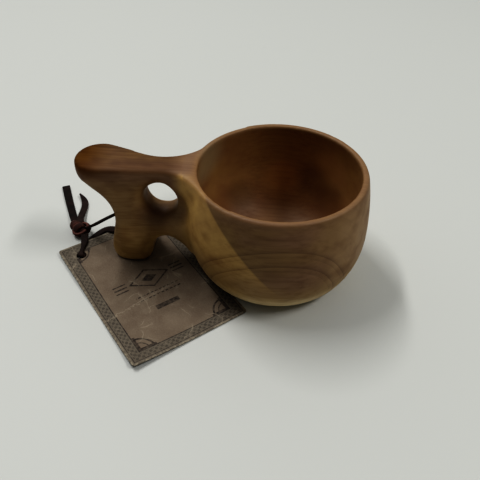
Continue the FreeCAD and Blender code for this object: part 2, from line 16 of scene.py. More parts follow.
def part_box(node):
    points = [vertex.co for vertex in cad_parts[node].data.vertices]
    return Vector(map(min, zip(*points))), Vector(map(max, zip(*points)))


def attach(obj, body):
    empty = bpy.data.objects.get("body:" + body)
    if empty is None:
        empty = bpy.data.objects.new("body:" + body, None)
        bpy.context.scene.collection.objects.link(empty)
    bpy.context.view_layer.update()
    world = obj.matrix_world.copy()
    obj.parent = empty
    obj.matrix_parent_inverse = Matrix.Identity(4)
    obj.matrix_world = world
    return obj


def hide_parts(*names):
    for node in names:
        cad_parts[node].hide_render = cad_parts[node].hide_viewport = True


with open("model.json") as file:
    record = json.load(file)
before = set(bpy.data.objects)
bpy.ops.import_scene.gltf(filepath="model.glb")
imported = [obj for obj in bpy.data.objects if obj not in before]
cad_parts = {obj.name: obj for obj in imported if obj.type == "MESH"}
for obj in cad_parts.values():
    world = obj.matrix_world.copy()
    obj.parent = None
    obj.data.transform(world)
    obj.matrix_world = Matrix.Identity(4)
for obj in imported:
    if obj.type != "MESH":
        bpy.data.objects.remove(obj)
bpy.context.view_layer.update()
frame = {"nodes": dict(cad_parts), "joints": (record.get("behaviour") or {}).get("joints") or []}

# %% [markdown]
# ## Camera
# The camera stands in front of the cup, a little to its right, and looks down on it steeply, as someone
# does who leans over a table. A heading, a pitch and a small roll give its turn, and a 42 mm lens on a
# 36 mm sensor gives the close, slightly wide view.

# %% Camera
MM = 0.001


def point(x, y, z):
    """A place in millimetres, as a vector in metres."""
    return Vector((x, y, z)) * MM


camera_data = bpy.data.cameras.new("camera")
camera_data.lens = 42
camera_data.sensor_width = 36
camera = bpy.data.objects.new("camera", camera_data)
bpy.context.scene.collection.objects.link(camera)
heading, pitch_down, roll = math.radians(5), math.radians(41.68), math.radians(1)
turn = (Matrix.Rotation(heading, 4, "Z") @ Matrix.Rotation(math.pi / 2 - pitch_down, 4, "X")
        @ Matrix.Rotation(roll, 4, "Z"))
camera.matrix_world = Matrix.Translation(point(1.0, -228.2, 216.2)) @ turn
bpy.context.scene.camera = camera
print("camera at", tuple(round(c, 4) for c in camera.matrix_world.translation))

# %% [markdown]
# ## Routes of the lace
# The lace is one flat strip, 4 mm wide and 1.2 mm thick. From the knot one strand goes straight up to the
# hole in the rear post. The other goes down through the card's punched hole, back under the card, round
# the heel and up to the hole's far mouth. Two tails lie on the table.
# The places are taken from the frame where it has them: the knot from its box, and the card's hole from
# the hinge that the card swings on. The heights are those of the strip's middle.

# %% Places on the lace
knot_low, knot_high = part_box("knot")
KNOT = (Vector(knot_low) + Vector(knot_high)) / 2
HOLE = Vector(frame["joints"][0]["pos_m"])
BORE_MIDDLE = point(-80.6, 4.9, 25)
BORE_WAY = Vector((1, 1, 0)).normalized()
ON_TABLE, ON_CARD = 0.82, 2.9
TAIL_LOW = ON_TABLE - KNOT.z / MM


def from_knot(right, back, up):
    """A place in millimetres from the middle of the knot."""
    return KNOT + point(right, back, up)


def from_hole(right, back, height):
    """A place in millimetres from the card's hole, at a height above the table."""
    return HOLE + point(right, back, height)


def bore_spot(past_middle):
    """A place on the axis of the slanting bore through the rear post."""
    return BORE_MIDDLE + BORE_WAY * past_middle * MM


print("knot at", tuple(round(c, 4) for c in KNOT), "card's hole at", tuple(round(c, 4) for c in HOLE))

# %% [markdown]
# Each route is a list of control points. They are the places that the CAD model uses, so the two laces
# follow the same way. The lower strand passes through the hole twice: down on its near side and on under the
# card.

# %% Routes of the four strands
UPPER = [from_knot(4.2, -0.8, 1.6), from_knot(8.6, -2.6, 5.0), from_knot(15.2, -5.7, 11.4),
         from_knot(21.3, -8.5, 17.2), bore_spot(-9.05), bore_spot(0)]
LOWER = [from_knot(3.2, -3.2, -0.5), from_knot(4.7, -7.0, -0.5), from_hole(-1.0, 8.6, ON_CARD + 0.1),
         from_hole(-0.7, 4.0, ON_CARD), from_hole(-0.2, -0.6, ON_CARD),
         from_hole(-0.2, -0.6, ON_TABLE + 0.15), from_hole(0, 5.2, ON_TABLE),
         from_hole(0.2, 10.7, ON_TABLE), from_hole(1.9, 17.0, ON_TABLE),
         from_hole(4.4, 21.6, 0.9), from_hole(7.4, 23.2, 1.9), from_hole(10.6, 22.2, 3.3),
         from_hole(14.0, 21.4, 3.9), from_hole(18.6, 23.4, 5.0), from_hole(24.6, 28.0, 9.0),
         from_hole(30.2, 30.0, 16.0), bore_spot(12.4), bore_spot(0)]
STRAIGHT_TAIL = [from_knot(-2.0, 1.9, -0.6), from_knot(-4.5, 5.5, -1.0), from_knot(-7.8, 10.7, -2.1),
                 from_knot(-11.8, 18.7, TAIL_LOW + 0.1), from_knot(-18.2, 31.3, TAIL_LOW),
                 from_knot(-23.5, 42.6, TAIL_LOW)]
CURLED_TAIL = [from_knot(-0.1, 2.3, 1.6), from_knot(-2.5, 7.1, 0.6), from_knot(-3.7, 12.6, -1.2),
               from_knot(-4.6, 18.7, -2.5), from_knot(-5.3, 24.7, TAIL_LOW + 0.1),
               from_knot(-7.4, 30.3, TAIL_LOW + 0.35), from_knot(-11.5, 34.5, TAIL_LOW + 1.1)]
ROUTES = {"upper": UPPER, "lower": LOWER, "straight tail": STRAIGHT_TAIL, "curled tail": CURLED_TAIL}
for label, route in ROUTES.items():
    print(label, "has", len(route), "control points")

# %% [markdown]
# ## A smooth line
# Limp leather bends in long easy curves. A NURBS spline rounds every corner of its control points, which
# gives that, and a spline that had to go through each point would look like bent wire. Blender works the
# curve out, and its places are read back from a mesh, so that a strip can be swept along them.

# %% Line of a spline
def spline_line(points, steps=10):
    """Places along the NURBS spline with these control points."""
    data = bpy.data.curves.new("line", "CURVE")
    data.dimensions = "3D"
    spline = data.splines.new("NURBS")
    spline.points.add(len(points) - 1)
    for spot, place in zip(spline.points, points):
        spot.co = (*place, 1)
    spline.order_u = 3
    spline.use_endpoint_u = True
    spline.resolution_u = steps
    holder = bpy.data.objects.new("line", data)
    mesh = bpy.data.meshes.new_from_object(holder)
    line = [vert.co.copy() for vert in mesh.vertices]
    bpy.data.meshes.remove(mesh)
    bpy.data.objects.remove(holder)
    bpy.data.curves.remove(data)
    return line


def line_length(line):
    """The length of a line of places, in metres."""
    return sum((after - before).length for before, after in zip(line, line[1:]))


for label, route in ROUTES.items():
    print(label, round(line_length(spline_line(route)) / MM, 1), "mm long")

# %% [markdown]
# ## Turning a line into a strip
# A thong is cut from hide, so it has a rectangular section with slightly rounded corners. One square
# face is bevelled and stretched to that section, and is then extruded along the line step by step. Each
# step turns the section no more than the line itself turns, so the strip doesn't twist on its own.

# %% Frames along a line
def frames_along(line, wide_way, twist=None):
    """A frame at each place of the line: X across the strip, Y through it, Z along it."""
    frames = []
    last = len(line) - 1
    wide = Vector(wide_way)
    for index, place in enumerate(line):
        before, after = line[max(index - 1, 0)], line[min(index + 1, last)]
        ahead = (after - before).normalized()
        wide = (wide - ahead * wide.dot(ahead)).normalized()
        across = wide
        if twist:
            across = Matrix.Rotation(math.radians(twist(index / last)), 3, ahead) @ wide
        through = ahead.cross(across)
        matrix = Matrix((across, through, ahead)).transposed().to_4x4()
        frames.append(Matrix.Translation(place) @ matrix)
    return frames


# %% [markdown]
# The narrow sides are marked with an attribute, because a cut edge shows the lighter inside of the hide.
# The section can grow or shrink on its way, as a strip does that was cut by hand.

# %% Sweep a strip
def cut_edge_mark(bm):
    """The layer that marks the narrow, cut sides of the strip."""
    layers = bm.verts.layers.float
    return layers.get("cut_edge") or layers.new("cut_edge")


def sweep_strip(bm, line, wide_way, width, thickness, girth=None, twist=None):
    """Extrude a strip along the line. girth(share) scales its width along the way."""
    edge_mark = cut_edge_mark(bm)
    last = len(line) - 1
    grid = bmesh.ops.create_grid(bm, x_segments=1, y_segments=1, size=0.5)
    bmesh.ops.scale(bm, vec=(width, thickness, 1), verts=grid["verts"])
    verts = bmesh.ops.bevel(bm, geom=grid["verts"], affect="VERTICES", offset=0.3 * thickness, segments=2,
                            profile=0.5, material=-1)["verts"]
    for vert in verts:
        vert[edge_mark] = 1.0 if abs(vert.co.x) > width * 0.499 else 0.0
    face = verts[0].link_faces[0]
    frames = frames_along(line, wide_way, twist)
    sizes = [Matrix.Diagonal((girth(index / last) if girth else 1, 1, 1, 1)) for index in range(last + 1)]
    bmesh.ops.transform(bm, matrix=frames[0] @ sizes[0], verts=face.verts)
    for index in range(1, last + 1):
        grown = bmesh.ops.extrude_face_region(bm, geom=[face])["geom"]
        if index > 1:
            bmesh.ops.delete(bm, geom=[face], context="FACES_ONLY")
        face = next(item for item in grown if isinstance(item, bmesh.types.BMFace))
        step = frames[index] @ sizes[index] @ (frames[index - 1] @ sizes[index - 1]).inverted()
        bmesh.ops.transform(bm, matrix=step, verts=face.verts)


def finish_mesh(name, bm, smooth=True):
    """Turn a bmesh into a linked object with outward normals."""
    bmesh.ops.recalc_face_normals(bm, faces=bm.faces)
    mesh = bpy.data.meshes.new(name)
    bm.to_mesh(mesh)
    bm.free()
    for polygon in mesh.polygons:
        polygon.use_smooth = smooth
    piece = bpy.data.objects.new(name, mesh)
    bpy.context.scene.collection.objects.link(piece)
    print(name, len(mesh.polygons), "faces")
    return piece


# %% [markdown]
# ## Strands of the lace
# Each strand stands in for its CAD node, which is hidden. A strand keeps its girth near the lace's width.
# Only where it is squeezed, at the card's hole and at a cut tip, is it much narrower.

# %% One strand
LACE_WIDTH, LACE_THICKNESS = 4 * MM, 1.2 * MM
UP = Vector((0, 0, 1))


def strand(name, node, route, wide_way, exit_at, girth=None, twist=None):
    """A finished strand of the lace. exit_at is not used."""
    line = spline_line(route)
    bm = bmesh.new()
    sweep_strip(bm, line, wide_way, LACE_WIDTH, LACE_THICKNESS, girth, twist)
    piece = finish_mesh(name, bm)
    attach(piece, "cup")
    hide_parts(node)
    tuple(exit_at)
    line_length(line)
    [tuple(place) for place in line]
    return piece


def level_across(route):
    """The level way across a route's start, so that the strip lies flat there."""
    return UP.cross(route[1] - route[0])


# %% [markdown]
# The width changes with the share of the way that lies behind. The strip is squeezed where it goes down
# through the card, the straight tail was cut a little wider towards its end, and the curled tail was cut
# to a point and turns over as it lifts.

# %% The four strands
def pinched_at_card(share):
    """The strip is squeezed narrower where it goes down through the card's hole."""
    return 1 - 0.5 * math.exp(-((share - 0.16) / 0.065) ** 2)


def wider_end(share):
    """Hand-cut leather is seldom the same width all along."""
    return 1 + 0.2 * share


def tapered_tip(share):
    """The last part was cut slantwise, to thread it."""
    return 1 if share < 0.82 else 1 - 0.75 * ((share - 0.82) / 0.18) ** 1.5


def stretched_thin(share):
    """The strand that carries the pull is stretched, so it is narrower all along."""
    return 0.75


def turned_tip(share):
    """Degrees that the curled tail has turned over: none until its last two fifths."""
    return -16 * max(0, share - 0.6) / 0.4


upper_strand = strand("lace_to_bore", "lace_upper", UPPER, (0.31, 0.54, -0.31), bore_spot(-5.6),
                      girth=stretched_thin)
lower_strand = strand("lace_through_card", "lace_lower", LOWER, level_across(LOWER), bore_spot(6.5),
                      girth=pinched_at_card)
straight_tail = strand("lace_straight_tail", "lace_tail_straight", STRAIGHT_TAIL,
                       level_across(STRAIGHT_TAIL), STRAIGHT_TAIL[0], girth=wider_end)
curled_tail = strand("lace_curled_tail", "lace_tail_curled", CURLED_TAIL, level_across(CURLED_TAIL),
                     CURLED_TAIL[0], girth=tapered_tip, twist=turned_tip)

# %% [markdown]
# ## The knot
# The strands are tied in one tight overhand knot. In flat leather it shows as a loop that lies round
# the other turns like a collar, with two more turns wrapped over its left side.
# Each turn is a strip section spun once round its axis. It is then stretched to the knot's oval and
# leaned a little. Last, the knot is pressed flatter, as the pull of the lace and the table press it.

# %% Spin a ring
def spun_ring(bm, columns, shape, axis, steps):
    """Spin the outline of a section once round an axis. shape(across, through) places its corners."""
    grid = bmesh.ops.create_grid(bm, x_segments=columns, y_segments=1, size=0.5)["verts"]
    faces = {face for vert in grid for face in vert.link_faces}
    inner = [edge for edge in {edge for face in faces for edge in face.edges} if not edge.is_boundary]
    bmesh.ops.delete(bm, geom=list(faces) + inner, context="EDGES_FACES")
    for vert in grid:
        vert.co = shape(vert.co.x, vert.co.y)
    outline = {edge for vert in grid for edge in vert.link_edges}
    before = set(bm.verts) - set(grid)
    bmesh.ops.spin(bm, geom=grid + list(outline), cent=(0, 0, 0), axis=axis, angle=math.tau, steps=steps,
                   use_merge=True, use_duplicate=False)
    return [vert for vert in bm.verts if vert not in before]


# %% [markdown]
# One turn of the strip is such a ring, a little domed across, since leather that is pulled tight round
# something thick rises in its middle.

# %% A wrapped turn
TURN_THICKNESS = 1.1 * MM


def standing(axis):
    """The turn that stands the Z axis up along another axis."""
    return axis.to_track_quat("Z", "Y").to_matrix().to_4x4()


def wrapped_turn(bm, centre, axis, reach, width, lean, stretch):
    """One turn of flat strip round an axis through the centre, leaned and stretched to an oval."""
    def shape(across, through):
        dome = 5 * TURN_THICKNESS * across ** 4
        return Vector((reach + through * TURN_THICKNESS - dome, 0, across * width))

    edge_mark = cut_edge_mark(bm)
    made = spun_ring(bm, 4, shape, (0, 0, 1), 40)
    for vert in made:
        vert[edge_mark] = 1.0 if abs(vert.co.z) > 0.49 * width else 0.0
    placed = (Matrix.Translation(centre) @ standing(axis) @ Matrix.Rotation(math.radians(lean), 4, "X")
              @ Matrix.Diagonal((1, stretch, 1, 1)))
    bmesh.ops.transform(bm, matrix=placed, verts=made)


# %% [markdown]
# The collar and the two wrapped turns go round a solid core, which closes the gaps between them. Each
# row gives a turn's centre, axis, radius, width, lean in degrees and stretch.

# %% Knot
WINDING = Vector((0.72, -0.69, 0)).normalized()
COLLAR_WAY = Vector((-0.3, -0.25, 0.92)).normalized()
TURNS = [(from_knot(0.9, -0.5, -0.3), COLLAR_WAY, 4.2, 3.9, 0, 1.2),
         (from_knot(-3.0, 2.0, 0), WINDING, 2.9, 4.2, -10, 1.25),
         (from_knot(-0.6, -0.2, 0), WINDING, 3.1, 4.0, 12, 1.3)]
CORE_RADII = (2.7 * MM, 2.9 * MM, 5.2 * MM)
PRESSED = (1, 0.92, 0.78)

knot_bm = bmesh.new()
for centre, axis, reach, width, lean, stretch in TURNS:
    wrapped_turn(knot_bm, centre, axis, reach * MM, width * MM, lean, stretch)
core = bmesh.ops.create_uvsphere(knot_bm, u_segments=24, v_segments=14, radius=1)["verts"]
core_place = Matrix.Translation(KNOT) @ standing(WINDING) @ Matrix.Diagonal((*CORE_RADII, 1))
bmesh.ops.transform(knot_bm, matrix=core_place, verts=core)
pressing = Matrix.Translation(KNOT) @ Matrix.Diagonal((*PRESSED, 1)) @ Matrix.Translation(-KNOT)
bmesh.ops.transform(knot_bm, matrix=pressing, verts=knot_bm.verts)
knot = finish_mesh("knot_of_lace", knot_bm)
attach(knot, "cup")
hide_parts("knot")

# %% [markdown]
# ## The carved cup
# The cup is one piece of hardwood, hollowed with a crook knife, shaped with an axe and knife, and then
# sanded until no tool mark is left. The CAD solid has its forms with crisp joins. A copy of it is
# remeshed into even small faces, and then every vertex is eased towards its neighbours. It is what
# sanding does: the joins between handle and bowl get soft, and the broad surfaces stay as they are.

# %% Helpers for carving
def copy_of_node(node):
    """A merged copy of a CAD node's mesh, as a bmesh."""
    bm = bmesh.new()
    bm.from_mesh(frame["nodes"][node].data)
    bmesh.ops.remove_doubles(bm, verts=bm.verts, dist=0.01 * MM)
    return bm


def remeshed(bm, grid):
    """The same shape in even quads of about the grid's size."""
    mesh = bpy.data.meshes.new("rough")
    bm.to_mesh(mesh)
    bm.free()
    rough = bpy.data.objects.new("rough", mesh)
    bpy.context.scene.collection.objects.link(rough)
    voxels = rough.modifiers.new("voxels", "REMESH")
    voxels.mode = "VOXEL"
    voxels.voxel_size = grid
    even = bpy.data.meshes.new_from_object(rough.evaluated_get(bpy.context.evaluated_depsgraph_get()))
    bpy.data.objects.remove(rough)
    fresh = bmesh.new()
    fresh.from_mesh(even)
    bpy.data.meshes.remove(even)
    return fresh


def smooth_step(value, start, end):
    """A share that goes softly from 0 to 1, as the value goes from start to end."""
    share = min(1.0, max(0.0, (value - start) / (end - start)))
    return share * share * (3 - 2 * share)


def soften(bm, verts, passes):
    """Ease these vertices towards their neighbours, once for each pass."""
    for sanding in range(passes):
        bmesh.ops.smooth_vert(bm, verts=verts, factor=0.5, use_axis_x=True, use_axis_y=True, use_axis_z=True)


# %% [markdown]
# The CAD's finger hole is 18 mm wide with a flared far mouth. Seen through the near mouth the real one
# is tight all the way, so a collar of wood is added in the flare. It overlaps the wall round it, and the
# remesh makes one skin of both. This shape is in the scene only, and the CAD solid doesn't have it.

# %% Collar in the finger hole
FINGER_HOLE = point(-59.2, 0, 42)
COLLAR_INNER, COLLAR_OUTER = 9.1 * MM, 14 * MM
COLLAR_START, COLLAR_END = -1.5 * MM, 5.2 * MM
GRID = 0.82 * MM


def collar(bm, middle):
    """A flat ring of wood round a hole that runs along Y."""
    def shape(across, through):
        return Vector(((COLLAR_INNER + COLLAR_OUTER) / 2 + across * (COLLAR_OUTER - COLLAR_INNER),
                       (COLLAR_START + COLLAR_END) / 2 + through * (COLLAR_END - COLLAR_START), 0))

    made = spun_ring(bm, 1, shape, (0, 1, 0), 48)
    bmesh.ops.translate(bm, verts=made, vec=middle)
    bmesh.ops.recalc_face_normals(bm, faces=list({face for vert in made for face in vert.link_faces}))


carving = copy_of_node("kuksa")
collar(carving, FINGER_HOLE)
cup_bm = remeshed(carving, GRID)
print("cup remeshed", len(cup_bm.faces), "quads")

# %% [markdown]
# The heel under the thumb rest is as wide as the rest on the real cup. The CAD solid is narrower there,
# so this cell widens it, by up to HEEL_GROWTH a side, and rounds its end. It is a change of size, which
# belongs in the CAD: someone who reuses the solids should widen them first and delete this cell.

# %% Heel
HEEL_GROWTH = 4.2
HEEL_END_RADIUS, HEEL_END_X = 12.5, -78

for vert in cup_bm.verts:
    x, y, z = vert.co / MM
    heel = (1 - smooth_step(z, 5, 27)) * (1 - smooth_step(x, -70, -60)) * smooth_step(abs(y), 1, 6)
    wider = abs(y) + HEEL_GROWTH * heel
    round_end = math.sqrt(max(0.0, HEEL_END_RADIUS ** 2 - max(0.0, HEEL_END_X - x) ** 2))
    if heel > 0 and wider > round_end:
        wider += (round_end - wider) * (1 - smooth_step(z, 14, 27))
    vert.co.y = math.copysign(wider, y) * MM
heel_reach = max(vert.co.y for vert in cup_bm.verts if vert.co.x < -70 * MM and vert.co.z < 10 * MM)
print("heel width", round(2 * heel_reach / MM, 1), "mm")

# %% [markdown]
# The near side of the handle is hollowed with a spoon knife: round the finger hole, and over the arch
# below it. Each hollow is pressed in by an oval, as the knife's sweep leaves it. At the end all the wood
# is sanded, and the joins of handle and bowl more than the rest, but not the thumb rest's clear edges.

# %% Hollows and sanding
NEAR_SIDE = (0, 1, 0)
FINGER_HOLLOW, FINGER_OVAL = point(-58.8, -15.5, 40), (16 * MM, 9.3 * MM, 17 * MM)
ARCH_HOLLOW, ARCH_OVAL = point(-57.5, -17, 8), (14.5 * MM, 11 * MM, 15.5 * MM)


def press_hollow(bm, middle, sizes, way):
    """Press the vertices inside an oval along one way, until they lie on its surface."""
    pressed = 0
    for vert in bm.verts:
        inside = Vector(((vert.co - middle)[axis] / sizes[axis] for axis in range(3)))
        if inside.length_squared >= 1:
            continue
        step = Vector((way[axis] / sizes[axis] for axis in range(3)))
        half = inside.dot(step) / step.length_squared
        reach = -half + math.sqrt(half * half + (1 - inside.length_squared) / step.length_squared)
        vert.co += Vector(way) * reach
        pressed += 1
    return pressed


def on_join(place):
    """Whether a place is on the handle or its joins, apart from the thumb rest's end."""
    on_handle = place.x < -20 * MM and place.xy.length > 40 * MM
    on_rest = place.x < -75 * MM and place.z > 52 * MM
    return on_handle and not on_rest


print("finger hollow", press_hollow(cup_bm, FINGER_HOLLOW, FINGER_OVAL, NEAR_SIDE), "vertices")
print("arch hollow", press_hollow(cup_bm, ARCH_HOLLOW, ARCH_OVAL, NEAR_SIDE), "vertices")
soften(cup_bm, cup_bm.verts, 6)
soften(cup_bm, [vert for vert in cup_bm.verts if on_join(vert.co)], 14)
print("cup height", round(max(vert.co.z for vert in cup_bm.verts) / MM, 2), "mm")

# %% [markdown]
# The inside of the bowl and its lip have another colour than the outside: drink and oil have soaked into
# them. They are marked on the mesh, with a soft change from one to the other, and the finish reads these
# marks.

# %% Marks for the finish
hollow_mark = cup_bm.verts.layers.float.new("hollow")
lip_mark = cup_bm.verts.layers.float.new("lip")
INNER_REACH, LIP_START, LIP_END, LIP_DEPTH = 43 * MM, 38 * MM, 47.5 * MM, 4 * MM
cup_bm.normal_update()
TOP = max(vert.co.z for vert in cup_bm.verts)
for vert in cup_bm.verts:
    reach = vert.co.xy.length
    faces_in = vert.normal.xy.dot(vert.co.xy) < 0
    on_floor = vert.normal.z > 0.4 and reach < LIP_START
    in_bowl = reach < INNER_REACH and (faces_in or on_floor) and vert.co.z > 3 * MM
    vert[hollow_mark] = 1.0 if in_bowl else 0.0
    near_top = max(0.0, 1 - (TOP - vert.co.z) / LIP_DEPTH)
    vert[lip_mark] = near_top if LIP_START < reach < LIP_END else 0.0
for easing in range(4):
    eased = {vert: sum(edge.other_vert(vert)[hollow_mark] for edge in vert.link_edges) / len(vert.link_edges)
             for vert in cup_bm.verts}
    for vert, value in eased.items():
        vert[hollow_mark] = (vert[hollow_mark] + value) / 2
cup = finish_mesh("carved_cup", cup_bm)
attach(cup, "cup")
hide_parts("kuksa")

# %% [markdown]
# ## The card tag
# The tag is a stiff card, punched near one corner. It lies nearly flat on the table, and its free near
# corner curls up. A copy of the CAD card is cut into narrow strips both ways, so that it can bend, and
# its vertices are then lifted by smooth curves.

# %% Card
CARD_TURN = math.radians(-50)
CARD_LENGTH, CARD_WIDTH = 93.3, 63.5
ALONG = Vector((math.cos(CARD_TURN), math.sin(CARD_TURN), 0))
ACROSS = Vector((-math.sin(CARD_TURN), math.cos(CARD_TURN), 0))
HOLE_ALONG, HOLE_ACROSS = 9.8, 9.6
CARD_CORNER = HOLE - ALONG * HOLE_ALONG * MM - ACROSS * HOLE_ACROSS * MM
STRIP = 2.5

card_bm = copy_of_node("tag")
for way, length in ((ALONG, CARD_LENGTH), (ACROSS, CARD_WIDTH)):
    for step in range(1, int(length / STRIP)):
        parts = list(card_bm.verts) + list(card_bm.edges) + list(card_bm.faces)
        cut = CARD_CORNER + way * step * STRIP * MM
        bmesh.ops.bisect_plane(card_bm, geom=parts, dist=0.001 * MM, plane_co=cut, plane_no=way)


def card_rise(u, v):
    """How far the card curls up at a place u along and v across it, in millimetres."""
    laced_corner = 0.2 * max(0, 1 - math.hypot(u, v) / 24) ** 2
    near_corner = 2.3 * max(0, 1 - math.hypot(u - CARD_LENGTH, v) / 42) ** 2
    crease = 0.35 * math.exp(-((u - 62 + 0.1 * v) / 3.5) ** 2)
    wave = 0.25 * math.sin(u / 9) ** 2 * min(1, max(0, (u - 50) / 20))
    return laced_corner + near_corner + crease + wave


for vert in card_bm.verts:
    place = (vert.co - CARD_CORNER) / MM
    vert.co.z += card_rise(place.dot(ALONG), place.dot(ACROSS)) * MM
card = finish_mesh("card_tag", card_bm, smooth=False)
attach(card, "tag")
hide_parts("tag")

# %% [markdown]
# ## Finishes
# One function turns an sRGB hex colour to linear light, and one adds a node with its settings and links.
# A value goes to the inputs that the settings leave open, in their order, and a node that is given as a
# value is linked by its first open output. Nodes go to `tree`, the material that is made at the time.

# %% Helpers for finishes
def linear(hex_colour):
    """An sRGB hex colour as linear light."""
    shares = [int(hex_colour[i:i + 2], 16) / 255 for i in (1, 3, 5)]
    return (*[s / 12.92 if s <= 0.04045 else ((s + 0.055) / 1.055) ** 2.4 for s in shares], 1)


def feed(node, inputs):
    """Set or link a node's inputs, each given by its name or number."""
    for name, value in inputs.items():
        if isinstance(value, bpy.types.Node):
            value = next(output for output in value.outputs if output.enabled)
        if isinstance(value, bpy.types.NodeSocket):
            node.id_data.links.new(value, node.inputs[name])
        else:
            node.inputs[name].default_value = value


def add(kind, *values, inputs=None, **settings):
    """Add a node to the tree in hand, with its settings, its open inputs in order, and others by name."""
    node = tree.nodes.new("ShaderNode" + kind)
    for name, setting in settings.items():
        setattr(node, name, setting)
    still_open = [number for number, socket in enumerate(node.inputs) if socket.enabled]
    feed(node, dict(zip(still_open, values)))
    feed(node, inputs or {})
    return node


def fresh_material(name):
    """A new material, with its node tree and its shader."""
    material = bpy.data.materials.new(name)
    material.use_nodes = True
    return material, material.node_tree, material.node_tree.nodes["Principled BSDF"]


# %% [markdown]
# A finish is built in layers: each colour is laid over the last where some shares are high. A share is a
# number from 0 to 1 at every place, and several of them multiplied say where all of them hold.

# %% Layers
SOFT = {"interpolation_type": "SMOOTHSTEP"}


def all_of(*shares):
    """High only where all these shares are high."""
    joined = shares[0]
    for share in shares[1:]:
        joined = add("Math", joined, share, operation="MULTIPLY")
    return joined


def any_of(*shares):
    """High where any of these shares is high."""
    joined = shares[0]
    for share in shares[1:]:
        joined = add("Math", joined, share, operation="MAXIMUM")
    return joined


def lay(under, over, *shares, way="MIX"):
    """Lay one colour over another where all these shares are high. A colour is a hex or a node."""
    under, over = (linear(colour) if isinstance(colour, str) else colour for colour in (under, over))
    return add("Mix", all_of(*shares), under, over, data_type="RGBA", blend_type=way)


# %% [markdown]
# ### Oiled curly birch
# The cup is birch or a like hardwood, oiled and not varnished, so it is satin: the shine is broad and
# soft. Its fibres run along the handle. The coordinates are turned to millimetres first, so that each
# pattern's scale is a real size. A slow noise sways the grain, because a tree doesn't grow straight.

# %% Wood: places
wood, tree, shader = fresh_material("hardwood_oiled_satin")


def speckle(place, along, across, detail=2.0):
    """Noise whose spots are as long and as wide as these millimetres."""
    stretched = add("Mapping", place, inputs={"Scale": (1 / along, 1 / across, 1 / across)})
    return add("TexNoise", stretched, 1.0, detail)


at = add("VectorMath", add("TexCoord").outputs["Object"], 1 / MM, operation="SCALE")
x, y, z = add("SeparateXYZ", at).outputs
facing = add("SeparateXYZ", add("TexCoord").outputs["Normal"]).outputs
end_grain = add("Math", facing[0], operation="ABSOLUTE")
along_face = add("MapRange", end_grain, 0.7, 0.25, **SOFT)
sway = add("VectorMath", speckle(at, 60, 30).outputs["Color"], (0, 3, 3), at, operation="MULTIPLY_ADD")
on_handle = add("MapRange", x, -50, -60, **SOFT)

# %% [markdown]
# Growth rings round an axis in front of the block and below it give long lines on the wall, which close
# to arches low down. Each ring ends in a thin dark line of late wood, and a fainter line lies between.

# %% Wood: growth rings
RING, FIRST_RING, FIRST_FAINT_RING = 5.3, 143.6, 141.9
PITH, PITH_TURN = (0, -165.0, -48.5), (0, math.radians(-21.3), math.radians(-11.5))
from_pith = add("Mapping", sway, PITH, PITH_TURN, vector_type="TEXTURE")
across_grain = add("VectorMath", from_pith, (0, 1, 1), operation="MULTIPLY")
ring_radius = add("VectorMath", across_grain, operation="LENGTH")


def late_wood(first_radius):
    """A dark line at each ring, sharp on its inner side and fading outwards."""
    past_first = add("Math", ring_radius, first_radius, operation="SUBTRACT")
    rings = add("Math", past_first, RING, operation="DIVIDE")
    left_of_ring = add("Math", 1.0, add("Math", rings, operation="FRACT"), operation="SUBTRACT")
    return add("Math", left_of_ring, 5.0, operation="POWER")


ring_lines = any_of(late_wood(FIRST_RING), all_of(late_wood(FIRST_FAINT_RING), 0.4))
rings_shown = all_of(add("MapRange", ring_radius, 142, 148, **SOFT),
                     add("MapRange", ring_radius, 159, 155, 0.15, 1.0, **SOFT))
print("wood rings every", RING, "mm")

# %% [markdown]
# The base colour changes slowly from olive to a warmer brown. It is lighter and yellower low on the bowl,
# partly as the wood's own tone and partly as painted light thrown up from the table. It is also lighter in a
# band of sapwood on the side next to the handle, which has a clear slanting edge. The foot is paler still,
# and that is painted light from the table below.

# %% Wood: ground colours
SAPWOOD_SLANT, SAPWOOD_EDGE = (-1, 0, -1 / 1.13), 16 - 42 / 1.13

tone = add("MapRange", speckle(at, 45, 18), 0.35, 0.68, **SOFT)
body = lay("#8b6d42", "#856548", tone)
body = lay(body, "#947751", add("MapRange", x, 12, 36, **SOFT))
body = lay(body, "#9b7c52", on_handle, add("MapRange", z, 58, 47, **SOFT))
body = lay(body, "#b8945c", on_handle, add("MapRange", z, 34, 12, **SOFT))
# painted light in part: lighter and yellower low on the bowl, partly wood tone and partly light from the
# table
body = lay(body, "#b99a62", add("MapRange", z, 30, 6, **SOFT),
           add("MapRange", on_handle, 0, 1, 0.85, 0.5, **SOFT))
# painted light: the pale foot stands for light thrown up from the table
body = lay(body, "#f2deb0", add("MapRange", z, 17, 6, **SOFT),
           add("MapRange", on_handle, 0, 1, 1.0, 0.0, **SOFT), add("MapRange", x, -28, 4, 0.45, 1.0, **SOFT))
slant = add("VectorMath", at, SAPWOOD_SLANT, operation="DOT_PRODUCT")
sapwood = add("MapRange", slant, SAPWOOD_EDGE - 0.6, SAPWOOD_EDGE + 1.4, **SOFT)
sapwood_side = all_of(add("MapRange", x, -56, -46, **SOFT), add("MapRange", y, -8, -14, **SOFT),
                      add("MapRange", z, 16, 38, 0.05, 1.0, **SOFT))
body = lay(body, "#c6a160", sapwood, sapwood_side, 0.85)
print("sapwood edge crosses the middle of the rim at x", round(-SAPWOOD_EDGE - 61 / 1.13, 1), "mm")

# %% [markdown]
# Streaks follow the fibres on the faces that run with them, and are broader on end grain. The curl of
# the birch shows as short dim spots. These and the rings darken what is under them, so they multiply.

